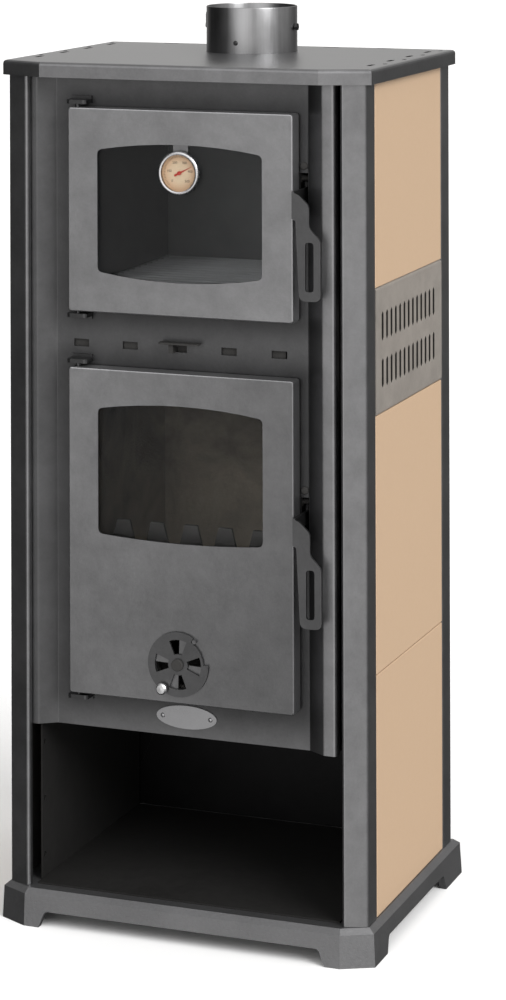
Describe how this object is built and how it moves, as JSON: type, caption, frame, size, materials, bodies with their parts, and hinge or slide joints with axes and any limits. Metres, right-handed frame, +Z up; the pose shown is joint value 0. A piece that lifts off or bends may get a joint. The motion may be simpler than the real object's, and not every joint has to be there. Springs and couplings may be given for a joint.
{
  "type": "wood cookstove",
  "caption": "Free-standing wood cookstove with a glazed oven door above a glazed fire door, tiled sides, a hob plate, a flue collar and an open log compartment.",
  "frame": {"origin": "on the floor, under the middle of the stove's bounding box", "axes": "+Z up, +X to the viewer's right when facing the doors, -Y out of the doors"},
  "size_m": [0.5, 0.38, 1.151],
  "materials": {
    "painted_steel": "satin dark grey high-temperature paint",
    "dark_steel": "matt black heat-proof paint, soot on the fire side",
    "grille_steel": "satin taupe paint",
    "cast_iron": "painted casting, slightly grainy",
    "bright_steel": "brushed or polished bare steel",
    "collar_steel": "rolled steel tube, smooth",
    "tile": "satin beige glaze",
    "firebrick": "fired clay, rough and sooty",
    "rope": "braided glass-fibre rope",
    "dial": "matt cream printed card on metal",
    "needle": "red paint",
    "clear_glass": "clear heat-resisting glass, slightly smoked"
  },
  "bodies": {
    "cabinet": {"ash_drawer": "dark_steel", "back_panel": "painted_steel", "badge_plate": "bright_steel", "base_plinth": "cast_iron", "body_floor": "dark_steel", "body_shell": "dark_steel", "brick_back": "firebrick", "brick_left": "firebrick", "brick_right": "firebrick", "fire_grate": "cast_iron", "fire_hinge_bottom": "painted_steel", "fire_hinge_top": "painted_steel", "fire_keeper": "dark_steel", "flue_collar": "collar_steel", "front_panel": "painted_steel", "grate_frame": "cast_iron", "grille_left": "grille_steel", "grille_right": "grille_steel", "log_ceiling": "dark_steel", "log_floor": "dark_steel", "log_guard": "cast_iron", "log_wall_left": "dark_steel", "log_wall_right": "dark_steel", "oven_box": "dark_steel", "oven_hinge_bottom": "painted_steel", "oven_hinge_top": "painted_steel", "oven_keeper": "dark_steel", "oven_rack": "bright_steel", "post_front_left": "painted_steel", "post_front_right": "painted_steel", "post_rear_left": "painted_steel", "post_rear_right": "painted_steel", "smoke_baffle": "firebrick", "tile_left_bottom": "tile", "tile_left_middle": "tile", "tile_left_top": "tile", "tile_right_bottom": "tile", "tile_right_middle": "tile", "tile_right_top": "tile", "top_plate": "painted_steel"},
    "oven_door": {"oven_door_shell": "painted_steel", "oven_door_glass": "clear_glass", "oven_glass_frame": "dark_steel", "oven_door_seal": "rope", "thermometer_bracket": "dark_steel", "thermometer_case": "bright_steel", "thermometer_dial": "dial", "thermometer_lens": "clear_glass"},
    "fire_door": {"fire_door_shell": "painted_steel", "fire_door_glass": "clear_glass", "fire_glass_frame": "dark_steel", "fire_door_seal": "rope", "air_disc_bolt": "dark_steel"},
    "oven_lever": {"oven_latch_lever": "painted_steel"},
    "fire_lever": {"fire_latch_lever": "painted_steel"},
    "primary_air_disc": {"air_disc": "painted_steel", "air_disc_knob": "bright_steel"},
    "secondary_air_slide": {"air_slide": "grille_steel"},
    "damper": {"flue_damper": "bright_steel"},
    "dial_needle": {"thermometer_needle": "needle"}
  },
  "joints": [
    {"name": "oven_door_hinge", "type": "hinge", "parent": "cabinet", "child": "oven_door", "pos_m": [-0.1445, -0.1658, 0.90575], "axis": [0, 0, -1], "range_deg": [0, 110]},
    {"name": "fire_door_hinge", "type": "hinge", "parent": "cabinet", "child": "fire_door", "pos_m": [-0.1445, -0.1658, 0.502], "axis": [0, 0, -1], "range_deg": [0, 110]},
    {"name": "oven_latch", "type": "hinge", "parent": "oven_door", "child": "oven_lever", "pos_m": [0.1512, -0.1658, 0.921], "axis": [-1, 0, 0], "range_deg": [0, 25]},
    {"name": "fire_latch", "type": "hinge", "parent": "fire_door", "child": "fire_lever", "pos_m": [0.1512, -0.1658, 0.5212], "axis": [-1, 0, 0], "range_deg": [0, 25]},
    {"name": "primary_air_turn", "type": "hinge", "parent": "fire_door", "child": "primary_air_disc", "pos_m": [-0.0039, -0.1788, 0.3464], "axis": [0, -1, 0], "range_deg": [0, 45]},
    {"name": "secondary_air_slide", "type": "slide", "parent": "cabinet", "child": "secondary_air_slide", "axis": [1, 0, 0], "range_m": [0, 0.0135]},
    {"name": "damper_turn", "type": "hinge", "parent": "cabinet", "child": "damper", "pos_m": [0, 0.074, 1.124], "axis": [1, 0, 0], "range_deg": [0, 90]},
    {"name": "needle_turn", "type": "hinge", "parent": "oven_door", "child": "dial_needle", "pos_m": [-0.0007, -0.178, 0.9568], "axis": [0, 1, 0], "range_deg": [-190, 80]}
  ]
}
